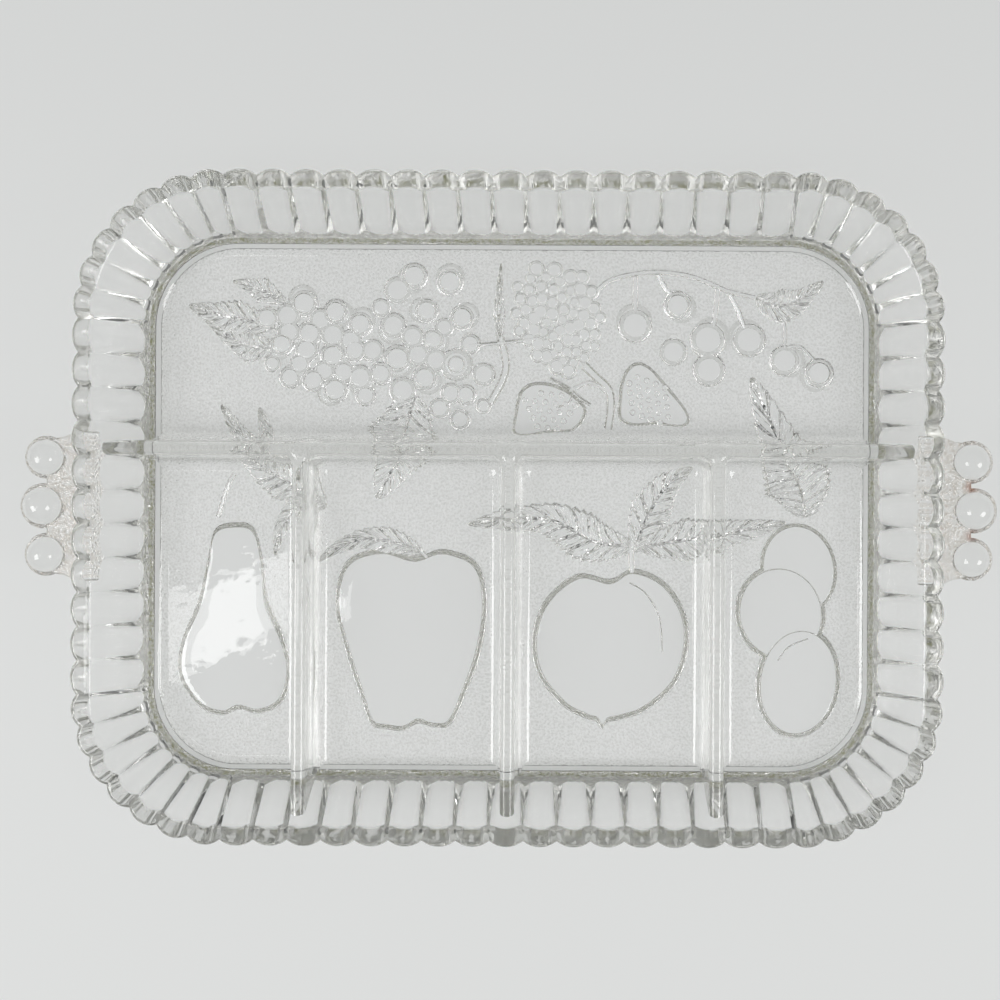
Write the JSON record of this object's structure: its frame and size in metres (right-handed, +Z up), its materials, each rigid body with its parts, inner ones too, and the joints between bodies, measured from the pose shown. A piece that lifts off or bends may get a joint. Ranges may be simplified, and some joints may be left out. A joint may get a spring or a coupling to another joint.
{
  "type": "relish tray",
  "caption": "Rectangular divided relish tray in clear pressed glass, with a long well, a row of short wells, a fluted flared rim and beaded end handles.",
  "frame": {"origin": "middle of the foot plane, under the middle of the tray", "axes": "+X along the length towards the right handle, +Y towards the long well, +Z up"},
  "size_m": [0.3418, 0.2344, 0.03],
  "materials": {
    "pressed_glass": "clear soda-lime pressed glass with a faint grey-green cast, fire-polished on top, finely stippled underneath"
  },
  "bodies": {
    "root": {"tray_floor": "pressed_glass", "foot_ring": "pressed_glass", "front_wall": "pressed_glass", "back_wall": "pressed_glass", "left_wall": "pressed_glass", "right_wall": "pressed_glass", "front_left_corner": "pressed_glass", "front_right_corner": "pressed_glass", "back_left_corner": "pressed_glass", "back_right_corner": "pressed_glass", "long_divider": "pressed_glass", "short_divider_left": "pressed_glass", "short_divider_middle": "pressed_glass", "short_divider_right": "pressed_glass", "left_handle_web": "pressed_glass", "right_handle_web": "pressed_glass", "left_handle_beads": "pressed_glass", "right_handle_beads": "pressed_glass"}
  },
  "joints": []
}
